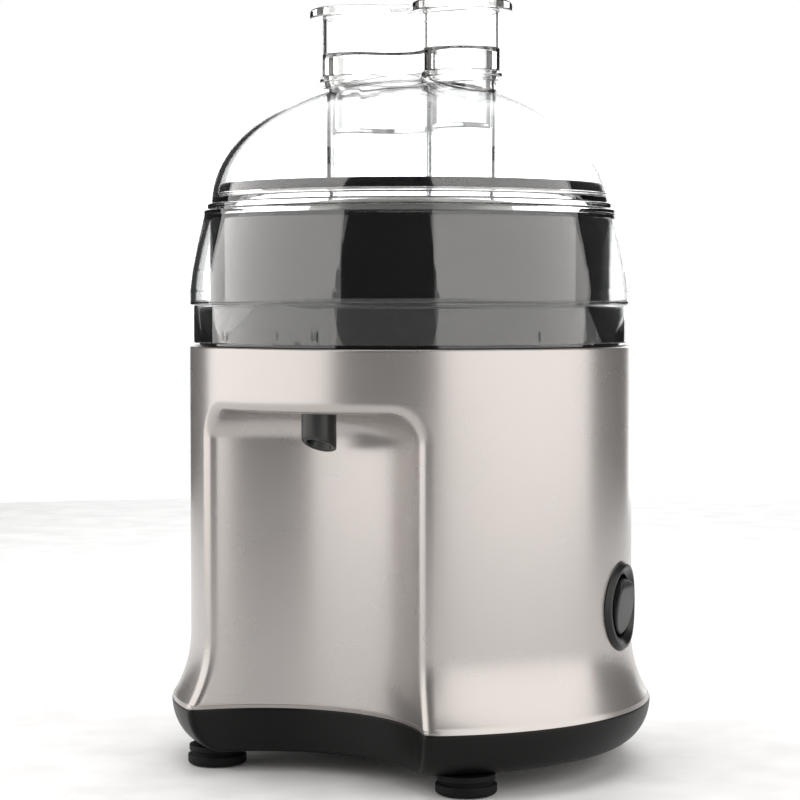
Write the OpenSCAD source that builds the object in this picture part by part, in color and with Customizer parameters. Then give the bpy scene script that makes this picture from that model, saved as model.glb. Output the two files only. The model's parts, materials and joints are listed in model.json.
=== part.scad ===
// Compact centrifugal juicer: base with motor, spinning filter basket, pulp bowl, clear lid with
// feed chute, and pusher. The drive axis is Z. The floor is z = 0. The glass alcove faces -Y.

/* [Base] */
// Outer radius of the housing wall
housing_r = 88; // [84:0.5:92]
// Largest radius of the base, where the housing flares out
flare_r = 95.6; // [93:0.2:98]
// Height of the seam between base tray and housing
seam_z = 21.5; // [20:0.5:24]
// Height of the housing's top edge
housing_top = 164; // [160:0.5:168]
// Wall thickness of the housing
housing_wall = 2.4; // [2:0.1:3]
// Diameter of each rubber foot
foot_d = 23; // [18:1:26]
// Distance from the axis to each foot
foot_ring_r = 79; // [74:1:80]

/* [Glass alcove] */
// Radius of the alcove's curved back
alcove_r = 62; // [58:1:66]
// Distance from the axis to the centre of that curve
alcove_offset = 115; // [112:1:118]
// Height of the alcove's ceiling
alcove_top = 140; // [134:1:144]
// Radius of the rounding between alcove wall and ceiling
alcove_round = 11; // [6:1:16]

/* [Bowl] */
// Outer radius of the bowl's wall
bowl_r = 80; // [78:0.5:80.5]
// Outer radius of the bowl's skirt
bowl_skirt_r = 84.4; // [83.5:0.1:84.6]
// Height of the bowl's rim
bowl_top = 215; // [212:0.5:217]
// Height where the skirt steps in to the wall
step_z = 180; // [178:0.5:182]

/* [Lid] */
// Radius of the dome where it meets the locking ridges
dome_r = 79.3; // [78:0.1:80]
// Height of the dome's centre
dome_z = 220; // [218:1:222]
// Rise of the dome above its centre
dome_rise = 51; // [46:1:54]
// Wall thickness of the lid
lid_wall = 2.2; // [1.8:0.1:2.6]
// Turn that locks the lid, in degrees
lock_turn = 20; // [10:1:30]

/* [Feed chute] */
// Chute centre, sideways from the axis
chute_x = 6; // [0:1:8]
// Chute centre, forward of the axis
chute_front = 11; // [8:1:13]
// Half the distance between the centres of the chute's two lobes
lobe_half = 23; // [21:0.5:24]
// Outer radius of each lobe of the chute
lobe_r = 13.6; // [13:0.1:14.5]
// Distance from the line between the lobes' centres to the hollow in front of them
waist = 1; // [0:0.5:8]
// Height of the chute's rim
chute_top = 270; // [267:1:273]
// Height of the pusher's top
pusher_top = 297; // [292:1:300]
// Height of the pusher's lower end
pusher_low = 248; // [244:1:252]

/* [Switch] */
// Direction of the switch, in degrees round from the front
switch_turn = 98; // [90:1:105]
// Height of the switch's centre
switch_z = 63.6; // [58:0.2:70]
// Outer diameter of the switch's bezel
bezel_d = 35; // [32:0.5:36]

/* [Basket] */
// Radius of the basket's top ring
basket_ring_r = 58; // [56:0.5:62]
// Radius of the basket's floor
basket_floor_r = 44; // [42:0.5:46]

/* [Hidden] */
$fn = 96;
overlap = 0.01;

tray_low = 7.6;
tray_low_r = 87;
tray_wall = 2.6;
flare_top = 52;
deck_z = 158;
deck_t = 3;
spout_y = -69;
spout_r = 6.6;
spout_bore_r = 4.6;
spout_low = 124.5;
bowl_floor = 166;
bowl_wall = 2.2;
hub_bore_r = 9;
inner_ring_r = 60;
inner_ring_top = 204;
notch_r = notch_radius(lobe_r);
notch_y = notch_r + waist;
shaft_r = 4;
stator_low = 46;
stator_top = 92;
bracket_z = 106;
chute_low = 192;
chute_wall = 1.8;
pusher_wall = 1.6;
flange_t = 3.8;
ring_z = 214;
lug_w = 17;
lug_entry = lug_w + 1.6;
lug_slot = 2 * (bowl_skirt_r + 2.2) * sin(lock_turn / 2 + 6.3);
pivot_r = housing_r - 3;
gland_z = 64;
sleeve_r = 14.8;
well_r = 12.4;
clearance = 0.05;

silver = [0.74, 0.71, 0.69];
black = [0.07, 0.07, 0.07];
clear = [0.92, 0.95, 0.97, 0.35];
steel = [0.72, 0.73, 0.75];

// Radius of the arc that touches two lobes of radius r and leaves the waist that far from the long axis.
function notch_radius(r) = (lobe_half * lobe_half + waist * waist - r * r) / (2 * r - 2 * waist);

// Housing wall radius at height z: straight, then flaring out towards the seam.
function wall_r(z) = z > flare_top ? housing_r
    : housing_r + (flare_r - housing_r) * pow((flare_top - z) / (flare_top - seam_z), 2.2);

// Points of the flared wall from the seam up to the top edge, moved in by t.
function wall_points(t, low, high) = concat(
    [for (i = [0:10]) let (z = low + (flare_top - low) * i / 10) [wall_r(max(z, seam_z)) - t, z]],
    [[housing_r - t, high]]);

module lathe(points) {
    rotate_extrude($fn = 128) polygon(points);
}

module cylinder_at(z, r, h) {
    translate([0, 0, z]) cylinder(r = r, h = h);
}

module tube(r, bore, h) {
    difference() {
        cylinder(r = r, h = h);
        translate([0, 0, -1]) cylinder(r = bore, h = h + 2);
    }
}

// The space of the glass alcove, grown by t, from the floor up to a rounded ceiling.
module alcove_space(t, low) {
    round_r = alcove_round + t;
    wide = alcove_r + t;
    high = alcove_top + t;
    translate([0, -alcove_offset, 0]) rotate_extrude($fn = 128) polygon(concat(
        [[0, low], [wide, low]],
        [for (a = [0:9:90]) [wide - round_r + round_r * cos(a), high - round_r + round_r * sin(a)]],
        [[0, high]]));
}

module at_feet(i) {
    rotate([0, 0, 45 + 90 * i]) translate([foot_ring_r, 0, 0]) children();
}

// ---- Base ----

module tray_shape(t) {
    lathe(concat([[0, tray_low + t]],
        [for (i = [0:8]) let (a = 90 * i / 8)
            [tray_low_r - 5 + (flare_r - tray_low_r + 5) * sin(a) - t,
             seam_z - (seam_z - tray_low - t) * cos(a)]],
        [[0, seam_z]]));
}

module base_tray() {
    color(black) difference() {
        union() {
            difference() {
                tray_shape(0);
                translate([0, 0, overlap]) tray_shape(tray_wall);
            }
            intersection() {
                tray_shape(0);
                alcove_space(tray_wall, 0);
            }
            for (i = [0:3]) at_feet(i) cylinder_at(tray_low, foot_d / 2 - 0.8, 5);
            for (i = [0:3]) at_feet(i) cylinder_at(tray_low + 1, 5, 10);
            cylinder_at(tray_low + 1, 13, 16);
        }
        alcove_space(0, 0);
        for (i = [0:3]) at_feet(i) cylinder_at(0, 1.9, 40);
        cylinder_at(tray_low + 6, 9.05, 20);
        for (y = [0:4]) for (s = [-1, 1])
            translate([s * 29 - 14, 18 + 9 * y - 1.5, 0]) cube([28, 3, 14]);
    }
}

module foot(i) {
    color([0.05, 0.05, 0.05]) at_feet(i) difference() {
        lathe([[0, 0], [foot_d / 2 - 1.5, 0], [foot_d / 2, 1.4], [foot_d / 2, 3.6],
            [foot_d / 2 - 1.6, 4.6], [foot_d / 2 - 0.6, 5.4], [foot_d / 2 - 0.6, 7.6], [0, 7.6]]);
        translate([0, 0, -1]) cylinder(r = 4.2, h = 4.6);
        translate([0, 0, -1]) cylinder(r = 1.9, h = 12);
    }
}

module base_screws() {
    color(steel) for (i = [0:3]) at_feet(i) {
        translate([0, 0, 1.4]) cylinder(r = 3.6, h = 2.2);
        translate([0, 0, 3]) cylinder(r = 1.7, h = 24);
    }
}

module cord_gland() {
    color(black) translate([0, 0, gland_z]) rotate([-90, 0, 0]) difference() {
        union() {
            translate([0, 0, housing_r - 6]) cylinder(r = 6, h = 9.4);
            translate([0, 0, housing_r + 0.02]) cylinder(r = 8, h = 2.6);
            translate([0, 0, housing_r - 6]) cylinder(r = 7.6, h = 2.4);
        }
        translate([0, 0, housing_r - 10]) cylinder(r = 3.6, h = 20);
    }
}

// ---- Housing ----

module housing_outer() {
    lathe(concat([[0, seam_z + overlap]], wall_points(0, seam_z + overlap, housing_top - 1.2),
        [[housing_r - 1.2, housing_top], [0, housing_top]]));
}

module housing_inner() {
    lathe(concat([[0, seam_z - 1]], wall_points(housing_wall, seam_z - 1, housing_top + 1),
        [[0, housing_top + 1]]));
}

module housing() {
    color(silver) difference() {
        union() {
            difference() {
                housing_outer();
                housing_inner();
            }
            intersection() {
                housing_outer();
                alcove_space(housing_wall, seam_z + overlap);
            }
            for (i = [0:3]) at_feet(i) cylinder_at(seam_z + 1, 4.6, 20);
            intersection() {
                housing_outer();
                for (i = [0:3]) at_feet(i) translate([3, -1.2, seam_z + 1]) cube([20, 2.4, 18]);
            }
            translate([0, 0, deck_z - 3]) tube(housing_r - 1.5, housing_r - 5, 3);
        }
        alcove_space(0, 0);
        for (i = [0:3]) at_feet(i) cylinder_at(20, 1.75, 18);
        at_switch(housing_r - 13) cylinder(r = sleeve_r + 0.1, h = 20);
        translate([0, 0, gland_z]) rotate([-90, 0, 0]) cylinder(r = 6.05, h = 120);
        translate([0, spout_y, alcove_top - 2]) cylinder(r = spout_r + 0.3, h = 8);
    }
}

// ---- Switch ----

// The switch's own frame: its Z points out of the housing and its Y points up.
module at_switch(r) {
    rotate([0, 0, switch_turn - 90]) translate([r, 0, switch_z]) rotate([90, 0, 90]) children();
}

module switch_bezel() {
    color(black) at_switch(0) difference() {
        intersection() {
            cylinder_at(housing_r - 8, bezel_d / 2, 11);
            rotate([90, 0, 0]) translate([0, 0, -40]) cylinder(r = housing_r + 2.2, h = 80);
        }
        difference() {
            rotate([90, 0, 0]) translate([0, 0, -40]) cylinder(r = housing_r + 0.25, h = 80);
            cylinder_at(housing_r - 9, sleeve_r, 20);
        }
        cylinder_at(housing_r - 9, well_r, 20);
        translate([0, 0, housing_r - 0.8]) cylinder(r1 = well_r, r2 = well_r + 2.8, h = 3.2);
    }
}

module switch_body() {
    color([0.12, 0.12, 0.12]) at_switch(0) difference() {
        union() {
            cylinder_at(housing_r - 24, well_r - 0.1, 15.9);
            for (s = [-1, 1]) translate([9.2 * s - 1, -3.5, housing_r - 9])
                cube([2, 7, pivot_r - housing_r + 11.3]);
        }
        translate([0, 0, pivot_r]) rotate([0, 90, 0]) translate([0, 0, -20]) cylinder(r = 1.25, h = 40);
    }
}

module rocker_pin() {
    color(steel) at_switch(pivot_r) rotate([0, 90, 0]) cylinder_at(-10.2, 1.2, 20.4);
}

module rocker() {
    color([0.16, 0.16, 0.16]) at_switch(pivot_r) difference() {
        union() {
            intersection() {
                cylinder_at(3.6, 10.8, 10);
                translate([-20, 0, 0]) rotate([90, 0, 90]) linear_extrude(40)
                    polygon([[-13, 3], [13, 3], [13, 7.4], [8, 7.9], [-13, 4.4]]);
            }
            translate([-7.8, -9, -2.4]) cube([15.6, 18, 6.1]);
        }
        rotate([0, 90, 0]) cylinder_at(-30, 1.27, 60);
    }
}

// ---- Motor ----

module stator_posts() {
    for (a = [0:90:270]) rotate([0, 0, a]) translate([34, 0, 0]) children();
}

module deck_posts() {
    for (a = [45:90:315]) rotate([0, 0, a]) translate([37, 0, 0]) children();
}

module motor_bracket() {
    color(steel) difference() {
        union() {
            cylinder_at(bracket_z, 41.5, 3);
            cylinder_at(bracket_z - 9, 14, 10);
        }
        cylinder_at(bracket_z - 8, 11.05, 30);
        cylinder_at(bracket_z - 10, 6, 10);
        stator_posts() cylinder_at(bracket_z - 1, 3.05, 6);
        deck_posts() cylinder_at(bracket_z - 1, 1.9, 6);
    }
}

module isolator_bushes() {
    color(black) stator_posts() difference() {
        union() {
            cylinder_at(bracket_z - 2, 5, 1.98);
            cylinder_at(bracket_z - 0.1, 3, 3.2);
            cylinder_at(bracket_z + 3.02, 5, 2);
        }
        cylinder_at(bracket_z - 3, 1.8, 12);
    }
}

module bracket_screws() {
    color(steel) {
        stator_posts() {
            cylinder_at(stator_top - 12, 1.7, bracket_z + 5.2 - stator_top + 12);
            cylinder_at(bracket_z + 5.04, 3.4, 2.2);
        }
        deck_posts() {
            cylinder_at(bracket_z - 2.2, 3.4, 2.18);
            cylinder_at(bracket_z - 1, 1.7, 16);
        }
    }
}

module motor_stator() {
    color([0.45, 0.38, 0.3]) difference() {
        union() {
            cylinder_at(stator_low, 40, stator_top - stator_low);
            stator_posts() cylinder_at(stator_top - 1, 4, bracket_z - 1.02 - stator_top);
        }
        cylinder_at(stator_low - 1, 22, 60);
        stator_posts() cylinder_at(stator_top - 14, 1.75, 40);
        for (a = [45:90:315]) rotate([0, 0, a]) translate([27, -6, stator_low - 1]) cube([7, 12, 60]);
    }
}

module brush_holders() {
    color([0.7, 0.55, 0.25]) difference() {
        union() {
            translate([0, 0, 31]) tube(38, 12, 3);
            stator_posts() cylinder_at(33, 3, stator_low - 33.02);
            for (s = [-1, 1]) translate([15.3 * s - 5, -3, 33]) cube([10, 6, 9]);
        }
        for (s = [-1, 1]) translate([15.3 * s - 6, -1.6, 36.4]) cube([12, 3.2, 4.2]);
    }
}

// A ball bearing as one ring: two races and the row of balls between them.
module bearing(z, r, h) {
    gap = (r - shaft_r) / 2;
    color(steel) translate([0, 0, z]) {
        tube(r, r - gap * 0.55, h);
        tube(shaft_r + gap * 0.55, shaft_r + clearance, h);
        rotate_extrude() translate([shaft_r + gap, h / 2]) circle(r = gap * 0.5, $fn = 32);
    }
}

module lower_bearing() {
    bearing(tray_low + 6.02, 9, 7);
}

module upper_bearing() {
    bearing(bracket_z - 7.98, 11, 7);
}

module motor_shaft() {
    color(steel) union() {
        cylinder_at(tray_low + 6.2, shaft_r, 152);
        cylinder_at(tray_low + 13.4, 5.2, 2);
    }
}

module motor_rotor() {
    color([0.6, 0.35, 0.2]) difference() {
        union() {
            cylinder_at(stator_low + 3, 21, stator_top - stator_low - 6);
            cylinder_at(stator_low - 3, 16, 6.1);
            cylinder_at(33, 9.8, 10.5);
        }
        cylinder_at(20, shaft_r + 0.02, 100);
        for (a = [0:30:330]) rotate([0, 0, a]) translate([19.4, -0.8, stator_low]) cube([3, 1.6, 60]);
    }
}

module cooling_fan() {
    color([0.9, 0.9, 0.88]) difference() {
        union() {
            cylinder_at(bracket_z + 10, 8, 12);
            cylinder_at(bracket_z + 10, 32, 1.6);
            for (a = [0:30:330]) rotate([0, 0, a])
                translate([7, -0.7, bracket_z + 10]) cube([25, 1.4, 11]);
        }
        cylinder_at(bracket_z, shaft_r + 0.02, 40);
    }
}

// Six driving lugs, grown by t, which the coupling carries and the basket's socket takes.
module drive_lugs(t, low, high) {
    for (a = [0:60:300]) rotate([0, 0, a])
        translate([3, -1.2 - t, low]) cube([4.2 + t, 2.4 + 2 * t, high - low]);
    cylinder_at(low, 5.6 + t, high - low);
}

module drive_coupling() {
    color(black) difference() {
        union() {
            cylinder_at(162.4, 7.6, 4.4);
            drive_lugs(0, 166.7, 173.7);
        }
        cylinder_at(161, shaft_r + 0.02, 5);
    }
}

// ---- Deck and juice path ----

module deck() {
    color([0.1, 0.1, 0.1]) difference() {
        union() {
            cylinder_at(deck_z, housing_r - housing_wall - 0.05, deck_t);
            cylinder_at(deck_z, 16, 5);
            deck_posts() cylinder_at(bracket_z + 3.02, 4, deck_z - bracket_z - 2);
        }
        deck_posts() cylinder_at(bracket_z, 1.75, 20);
        cylinder_at(deck_z - 1, 10.05, 20);
        translate([0, spout_y, deck_z - 1]) cylinder(r = spout_r + 2.05, h = 10);
    }
}

module shaft_seal() {
    color(black) difference() {
        union() {
            cylinder_at(deck_z - 2, 10, 6);
            cylinder_at(deck_z - 2, 12.5, 2);
        }
        cylinder_at(deck_z - 3, shaft_r + 0.3, 12);
    }
}

module juice_spout() {
    color(black) translate([0, spout_y, 0]) difference() {
        union() {
            cylinder_at(spout_low, spout_r, bowl_floor - 1.6 - spout_low);
            cylinder_at(deck_z - 3, spout_r + 4, 2.98);
        }
        cylinder_at(spout_low - 1, spout_bore_r, 60);
        translate([-20, spout_r, spout_low]) rotate([-25, 0, 0])
            translate([0, -40, -20]) cube([40, 40, 20]);
    }
}

module spout_gasket() {
    color([0.2, 0.2, 0.2]) translate([0, spout_y, 0]) difference() {
        cylinder_at(deck_z, spout_r + 2, deck_t + 1.3);
        cylinder_at(deck_z - 1, spout_r + clearance, 20);
    }
}

// ---- Bowl ----

module bowl() {
    color(black) difference() {
        union() {
            lathe([[hub_bore_r, bowl_floor - 1.5], [bowl_skirt_r - 1.8, bowl_floor - 1.5],
                [bowl_skirt_r - 1.8, deck_z + deck_t + overlap], [bowl_skirt_r, deck_z + deck_t + overlap],
                [bowl_skirt_r, step_z - 1.2], [bowl_skirt_r - 0.8, step_z], [bowl_r, step_z],
                [bowl_r, bowl_top - 1], [bowl_r - 0.8, bowl_top], [bowl_r - bowl_wall, bowl_top],
                [bowl_r - bowl_wall, bowl_floor + 1], [inner_ring_r + 1, bowl_floor + 1],
                [inner_ring_r + 1, inner_ring_top], [inner_ring_r - 1, inner_ring_top],
                [inner_ring_r - 1, bowl_floor + 1], [hub_bore_r + 2, bowl_floor + 3],
                [hub_bore_r + 2, bowl_floor + 8], [hub_bore_r, bowl_floor + 8]]);
            intersection() {
                translate([0, spout_y, bowl_floor - 1.5]) cylinder(r = spout_r + 3, h = 12);
                cylinder_at(0, bowl_r - 1, 300);
            }
            intersection() {
                translate([0, 0, 167]) tube(bowl_skirt_r + 1.2, bowl_skirt_r - 0.5, 3);
                for (a = [0:90:270]) rotate([0, 0, a]) {
                    translate([60, -lug_w / 2, 160]) cube([40, lug_w, 20]);
                }
            }
        }
        translate([0, spout_y, bowl_floor - 5]) cylinder(r = spout_bore_r, h = 14.5);
        translate([-4, spout_y, bowl_floor + 1.01]) cube([8, 14, 5]);
    }
}

// ---- Basket ----

module basket_hub() {
    color([0.85, 0.85, 0.83]) difference() {
        union() {
            cylinder_at(175.5, basket_floor_r, 2.5);
            cylinder_at(167.2, 8.4, 15.3);
            lathe([[basket_floor_r - 2.4, 175.5], [basket_floor_r, 175.5], [basket_floor_r + 1.2, 182],
                [basket_floor_r - 1.2, 182]]);
        }
        drive_lugs(0.2, 166, 174.2);
    }
}

module grater_disc() {
    color(steel) difference() {
        union() {
            cylinder_at(182.6, basket_floor_r - 2.6, 0.8);
            cylinder_at(182.6, 7, 3);
            for (ring = [0:3]) for (a = [0:30:330]) rotate([0, 0, a + 9 * ring])
                translate([14 + 7.5 * ring, 0, 183]) rotate([0, -20, 25]) cube([3.2, 1, 2.2]);
        }
        cylinder_at(180, 2, 8);
    }
}

module filter_mesh() {
    r_high = basket_ring_r - 4;
    color(steel) lathe([[basket_floor_r - 0.6, 182.02], [basket_floor_r + 0.4, 182.02],
        [r_high + 0.3, ring_z + 3], [r_high - 0.7, ring_z + 3]]);
}

module basket_ring() {
    color([0.85, 0.85, 0.83]) translate([0, 0, ring_z]) lathe([[basket_ring_r - 3.3, 0],
        [basket_ring_r - 2.3, 0], [basket_ring_r - 1.6, 4], [basket_ring_r + 1.4, 7.4],
        [basket_ring_r + 1.4, 9], [basket_ring_r - 2.4, 9], [basket_ring_r - 4.6, 5.5],
        [basket_ring_r - 4.6, 3.02], [basket_ring_r - 3.3, 3.02]]);
}

// ---- Lid and pusher ----

module lid_seal() {
    color(black) lathe([[73.6, 223.4], [76.4, 223.4], [75.9, 227], [74.6, 227], [74.6, 225.6],
        [73.6, 225.6]]);
}

// Dome profile points from the locking ridges up to the axis, moved in by t.
function dome_points(t) = [for (i = [0:14]) let (a = 90 * i / 14)
    [(dome_r - t) * cos(a), dome_z + (dome_rise - t) * sin(a)]];

module dome_shell() {
    lathe(concat(
        [[bowl_skirt_r + 0.4, housing_top + 1.2], [bowl_skirt_r + 2.2, housing_top + 1.2],
         [bowl_skirt_r + 2.2, step_z], [housing_r, step_z], [housing_r, 186], [87, 194],
         [85, 204], [82.4, 215], [82.4, 217], [81, 217.6], [81, 219.6]],
        dome_points(0),
        [for (i = [14:-1:1]) dome_points(lid_wall)[i]],
        [[76.9, 223], [75.2, 223], [75.2, 222.2], [77.1, 221.8], [79, 216.4], [80.6, 213], [83, 203],
         [85, 193], [85.8, 185], [85.8, step_z + 1.2], [bowl_skirt_r + 0.4, step_z + 1.2]]));
}

// Kidney outline of the chute, grown by t: two lobes, a straight back and an arc between them in front.
module kidney(t) {
    r = lobe_r + t;
    touch = r / (lobe_r + notch_r);
    difference() {
        union() {
            for (s = [-1, 1]) translate([s * lobe_half, 0]) circle(r = r);
            polygon([[-lobe_half, r], [lobe_half, r],
                [lobe_half * (1 - touch), -notch_y * touch],
                [-lobe_half * (1 - touch), -notch_y * touch]]);
        }
        translate([0, -notch_y]) circle(r = notch_r - t);
    }
}

module kidney_block(t, low, high) {
    translate([chute_x, -chute_front, low]) linear_extrude(high - low) kidney(t);
}

module lid() {
    color(clear) difference() {
        union() {
            dome_shell();
            kidney_block(0, chute_low, chute_top);
            kidney_block(1.2, chute_top - 3.6, chute_top - 2);
            kidney_block(2.4, chute_top - 2, chute_top);
        }
        kidney_block(-chute_wall, chute_low - 1, chute_top + 1);
        cylinder_at(chute_top, 20, 4);
        intersection() {
            cylinder_at(0, bowl_skirt_r + 1.5, 200);
            for (a = [0:90:270]) rotate([0, 0, a]) {
                translate([70, -lug_entry / 2, 160]) cube([30, lug_entry, 10.4]);
                rotate([0, 0, -lock_turn / 2]) {
                    translate([70, -lug_slot / 2, 166.7]) cube([30, lug_slot, 3.7]);
                }
            }
        }
    }
}

module pusher() {
    color(clear) difference() {
        union() {
            kidney_block(-chute_wall - 0.5, pusher_low, chute_top + 1);
            kidney_block(1.4, chute_top + 0.3, pusher_top - 1);
            kidney_block(6.4, pusher_top - flange_t, pusher_top);
        }
        kidney_block(-chute_wall - 0.5 - pusher_wall, pusher_low + 2, pusher_top - 18);
        kidney_block(1.4 - pusher_wall, pusher_top - 19, pusher_top + 1);
    }
}

base_tray();
foot(0);  // foot_1
foot(1);  // foot_2
foot(2);  // foot_3
foot(3);  // foot_4
base_screws();
cord_gland();
housing();
switch_bezel();
switch_body();
rocker_pin();
rocker();
motor_bracket();
bracket_screws();
isolator_bushes();
motor_stator();
brush_holders();
lower_bearing();
upper_bearing();
motor_shaft();
motor_rotor();
cooling_fan();
drive_coupling();
deck();
shaft_seal();
juice_spout();
spout_gasket();
bowl();
basket_hub();
grater_disc();
filter_mesh();
basket_ring();
lid_seal();
lid();
pusher();
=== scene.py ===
"""Looks of a compact centrifugal juicer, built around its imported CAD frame.

Lengths in the shape functions are millimetres, and mesh data is in metres. The drive axis is Z, the
floor is z = 0, the glass alcove faces -Y and the switch is on the +X side.
"""

import json
import math

import bmesh
import bpy
import numpy as np
from mathutils import Matrix, Vector


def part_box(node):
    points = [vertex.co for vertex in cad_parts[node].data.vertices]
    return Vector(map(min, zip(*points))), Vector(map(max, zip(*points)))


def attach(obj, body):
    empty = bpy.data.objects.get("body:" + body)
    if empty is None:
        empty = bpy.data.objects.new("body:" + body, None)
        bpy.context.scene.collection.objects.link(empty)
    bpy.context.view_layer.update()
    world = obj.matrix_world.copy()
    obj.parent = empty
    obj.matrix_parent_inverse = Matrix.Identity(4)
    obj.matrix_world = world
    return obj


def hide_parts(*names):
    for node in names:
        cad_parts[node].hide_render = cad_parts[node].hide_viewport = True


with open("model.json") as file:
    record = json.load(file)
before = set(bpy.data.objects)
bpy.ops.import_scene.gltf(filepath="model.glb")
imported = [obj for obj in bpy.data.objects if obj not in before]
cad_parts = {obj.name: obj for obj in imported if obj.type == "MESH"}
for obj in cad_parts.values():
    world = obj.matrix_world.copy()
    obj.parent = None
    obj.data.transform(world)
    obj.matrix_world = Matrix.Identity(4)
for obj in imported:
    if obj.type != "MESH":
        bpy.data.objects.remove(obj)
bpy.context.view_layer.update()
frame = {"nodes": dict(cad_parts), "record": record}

MM = 0.001


def low(node):
    """Lowest corner of a CAD node, in millimetres."""
    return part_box(node)[0] / MM


def high(node):
    """Highest corner of a CAD node, in millimetres."""
    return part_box(node)[1] / MM


# Driving dimensions
SEAM_Z = high("base_tray").z
HOUSING_TOP = high("housing").z
HOUSING_R = 88.0
FLARE_R = high("housing").x
FLARE_TOP = 52.0
ALCOVE_R = 62.0
ALCOVE_OFFSET = 115.0
ALCOVE_TOP = 140.0
ALCOVE_ROUND = 11.0
TRAY_LOW = low("base_tray").z
TRAY_FLAT_R = 82.0
BOWL_TOP = high("bowl").z
BOWL_LOW = low("bowl").z
BOWL_R = 80.0
SKIRT_R = 84.4
STEP_Z = 180.0
INNER_RING_TOP = 204
DOME_R = 79.3
DOME_Z = 220.0
DOME_RISE = 51.0
LID_WALL = 2.2
LID_LOW = low("lid").z
LOBE_R = 13.6
LOBE_HALF = 23.0
WAIST = 1.0
CHUTE_AT = (6.0, -11.0)
CHUTE_LOW = 192.0
CHUTE_TOP = 270.0
CHUTE_WALL = 1.8
PUSHER_TOP = high("pusher").z
PUSHER_LOW = low("pusher").z
SPOUT_Y = -69.0
SPOUT_R = 6.6
SPOUT_BORE_R = 4.6
SPOUT_LOW = low("juice_spout").z
SWITCH_TURN = 8.0
SWITCH_Z = 63.6
FOOT_RING_R = 79.0
BEZEL_R = 17.5
WELL_R = 12.4
ROCKER_R = 10.8
BASKET_FLOOR_R = 44.0
BASKET_RING_R = 58.0
RING_Z = 214.0
LUG_WIDTH = 17.0


# ---- Mesh helpers ----


def piece(name, verts, faces, sharp=38):
    """A new object from vertices in millimetres, with smooth faces and sharp edges above an angle."""
    mesh = bpy.data.meshes.new(name)
    mesh.from_pydata([(x * MM, y * MM, z * MM) for x, y, z in verts], [], faces)
    obj = bpy.data.objects.new(name, mesh)
    bpy.context.scene.collection.objects.link(obj)
    tidy(obj, sharp)
    return obj


def tidy(obj, sharp=38, merge=1e-6):
    """Merges doubled vertices, turns every face outwards and sets smooth shading."""
    bm = bmesh.new()
    bm.from_mesh(obj.data)
    bmesh.ops.remove_doubles(bm, verts=bm.verts, dist=merge)
    bmesh.ops.dissolve_degenerate(bm, edges=bm.edges, dist=merge)
    bmesh.ops.recalc_face_normals(bm, faces=bm.faces)
    bm.to_mesh(obj.data)
    bm.free()
    for face in obj.data.polygons:
        face.use_smooth = True
    obj.data.set_sharp_from_angle(angle=math.radians(sharp))


def finish_piece(obj, body, slot, material, *nodes):
    """Gives a piece its material, hides the CAD nodes it stands for and puts it on its body. The slot
    argument is not used.
    """
    obj.data.materials.clear()
    obj.data.materials.append(material)
    if nodes:
        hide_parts(*nodes)
    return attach(obj, body)


def apply_modifiers(obj, sharp=38):
    """Replaces the mesh with its evaluated one, and clears the modifiers."""
    depsgraph = bpy.context.evaluated_depsgraph_get()
    mesh = bpy.data.meshes.new_from_object(obj.evaluated_get(depsgraph))
    obj.modifiers.clear()
    obj.data = mesh
    tidy(obj, sharp)


def combine(obj, operation, *tools, sharp=38):
    """Cuts the tools out of obj, or joins them to it, and removes them."""
    for tool in tools:
        step = obj.modifiers.new("combine", "BOOLEAN")
        step.operation = operation
        step.solver = "EXACT"
        step.object = tool
    bpy.context.view_layer.update()
    apply_modifiers(obj, sharp)
    for tool in tools:
        bpy.data.objects.remove(tool)
    return obj


def join(name, parts):
    """One object from several, which are removed."""
    bm = bmesh.new()
    for part in parts:
        part.data.transform(part.matrix_world)
        bm.from_mesh(part.data)
    mesh = bpy.data.meshes.new(name)
    bm.to_mesh(mesh)
    bm.free()
    for part in parts:
        bpy.data.objects.remove(part)
    obj = bpy.data.objects.new(name, mesh)
    bpy.context.scene.collection.objects.link(obj)
    tidy(obj)
    return obj


def rounded(corners, steps=5):
    """A closed outline whose corners (x, y, radius) become arcs."""
    outline = []
    for i, (x, y, radius) in enumerate(corners):
        here = np.array((x, y), float)
        if radius == 0:
            outline.append((x, y))
            continue
        back = np.array(corners[i - 1][:2], float) - here
        ahead = np.array(corners[(i + 1) % len(corners)][:2], float) - here
        reach = 0.49 * min(np.linalg.norm(back), np.linalg.norm(ahead))
        back, ahead = back / np.linalg.norm(back), ahead / np.linalg.norm(ahead)
        half = math.acos(np.clip(back @ ahead, -1, 1)) / 2
        cut = min(radius / math.tan(half), reach)
        radius = cut * math.tan(half)
        middle = back + ahead
        centre = here + middle / np.linalg.norm(middle) * radius / math.sin(half)
        start, end = here + back * cut - centre, here + ahead * cut - centre
        first = math.atan2(start[1], start[0])
        turn = (math.atan2(end[1], end[0]) - first + math.pi) % math.tau - math.pi
        for k in range(steps + 1):
            a = first + turn * k / steps
            outline.append((centre[0] + radius * math.cos(a), centre[1] + radius * math.sin(a)))
    return outline


def grid_faces(rows, columns, around=True, closed_rows=False):
    """Quads between rows of vertices. Columns wrap round if around is set, and rows if closed_rows is."""
    faces = []
    for i in range(rows if closed_rows else rows - 1):
        for j in range(columns if around else columns - 1):
            k, m = (i + 1) % rows, (j + 1) % columns
            faces.append((i * columns + j, i * columns + m, k * columns + m, k * columns + j))
    return faces


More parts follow.
